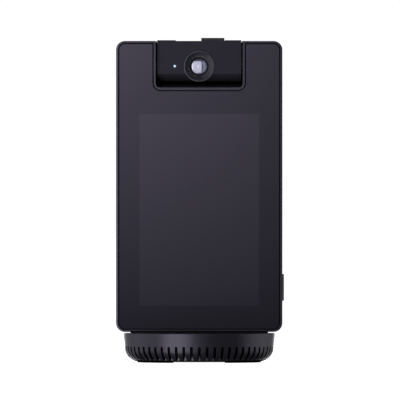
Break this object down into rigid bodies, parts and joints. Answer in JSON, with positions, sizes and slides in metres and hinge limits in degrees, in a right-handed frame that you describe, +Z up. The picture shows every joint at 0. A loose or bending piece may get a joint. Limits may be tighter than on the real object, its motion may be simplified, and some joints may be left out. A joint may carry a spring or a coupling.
{
  "type": "smart speaker",
  "caption": "Tabletop smart speaker: a tall touch-screen head that swivels on a round slotted speaker base, with a tilting camera barrel, sliding lens shutter and side key.",
  "frame": {"origin": "middle of the round base, on the surface that the rubber feet stand on", "axes": "+Z up along the swivel axis, -Y out of the screen towards the viewer, +X to the right of somebody who looks at the screen"},
  "size_m": [0.1322, 0.1194, 0.2556],
  "materials": {
    "shell_paint": "fine satin graphite finish",
    "frame_paint": "satin anodised look, rounded rim",
    "screen_glass": "polished cover glass printed black behind",
    "black_rubber": "matt",
    "display": "dark display laminate",
    "light_metal": "bead blasted",
    "board": "solder-masked circuit board",
    "tinned_steel": "tinned",
    "cell_wrap": "heat-shrunk wrap",
    "screw_steel": "blackened",
    "barrel_paint": "satin",
    "bezel": "turned and painted, fine satin",
    "lens_glass": "coated camera lens",
    "lens_black": "anti-reflection black",
    "light_pipe": "clear light pipe, lit",
    "brass_bush": "turned",
    "slide_tab": "fine ribs",
    "key_cap": "satin",
    "base_paint": "satin graphite",
    "plate_black": "matt",
    "guide_grey": "satin",
    "cloth": "acoustic cloth",
    "paper_cone": "pressed pulp",
    "magnet": "sintered",
    "copper": "enamelled winding",
    "slip_washer": "low-friction",
    "cable_jacket": "jacket"
  },
  "bodies": {
    "base": {"base_shell": "base_paint", "base_bottom_plate": "plate_black", "base_screws": "screw_steel", "rubber_feet": "black_rubber", "sound_guide_ring": "guide_grey", "acoustic_mesh": "cloth", "driver_baffle": "plate_black", "speaker_basket": "tinned_steel", "speaker_magnet": "magnet", "voice_coil": "copper", "speaker_cone": "paper_cone", "speaker_surround": "black_rubber", "ballast_ring": "tinned_steel", "amplifier_board": "board", "power_port": "tinned_steel", "swivel_bush": "brass_bush", "wave_washer": "tinned_steel", "thrust_washer": "slip_washer"},
    "head": {"swivel_platter": "plate_black", "swivel_spindle": "tinned_steel", "spindle_clip": "tinned_steel", "spindle_screws": "screw_steel", "head_harness": "cable_jacket", "front_frame": "frame_paint", "rear_housing": "shell_paint", "cover_glass": "screen_glass", "glass_gasket": "black_rubber", "touch_panel": "display", "lcd_panel": "display", "backlight_unit": "light_metal", "mid_chassis": "light_metal", "main_board": "board", "processor_shield": "tinned_steel", "heat_spreader": "light_metal", "battery_pack": "cell_wrap", "microphones": "tinned_steel", "antenna_strip": "copper", "housing_screws": "screw_steel", "side_switch": "plate_black", "hinge_bushes": "brass_bush", "friction_clip": "tinned_steel"},
    "camera": {"camera_front_cover": "barrel_paint", "camera_rear_cover": "barrel_paint", "lens_bezel_ring": "bezel", "lens_retainer_ring": "lens_black", "lens_dome": "lens_glass", "lens_tube": "lens_black", "image_sensor_board": "board", "camera_bracket": "light_metal", "status_light_pipe": "light_pipe", "status_light_board": "board", "hinge_pins": "tinned_steel"},
    "shutter": {"shutter_tab": "slide_tab", "shutter_blade": "tinned_steel"},
    "key": {"side_key": "key_cap"}
  },
  "joints": [
    {"name": "head_turn", "type": "hinge", "parent": "base", "child": "head", "pos_m": [0, 0, 0.0232], "axis": [0, 0, 1], "range_deg": [-160, 160]},
    {"name": "camera_tilt", "type": "hinge", "parent": "head", "child": "camera", "pos_m": [0, 0, 0.2331], "axis": [-1, 0, 0], "range_deg": [-15, 22]},
    {"name": "shutter_slide", "type": "slide", "parent": "camera", "child": "shutter", "axis": [-1, 0, 0], "range_m": [0, 0.0198]},
    {"name": "key_press", "type": "slide", "parent": "head", "child": "key", "axis": [-1, 0, 0], "range_m": [0, 0.0008], "stiffness_N_per_m": 2500, "springref_m": -0.0002}
  ]
}
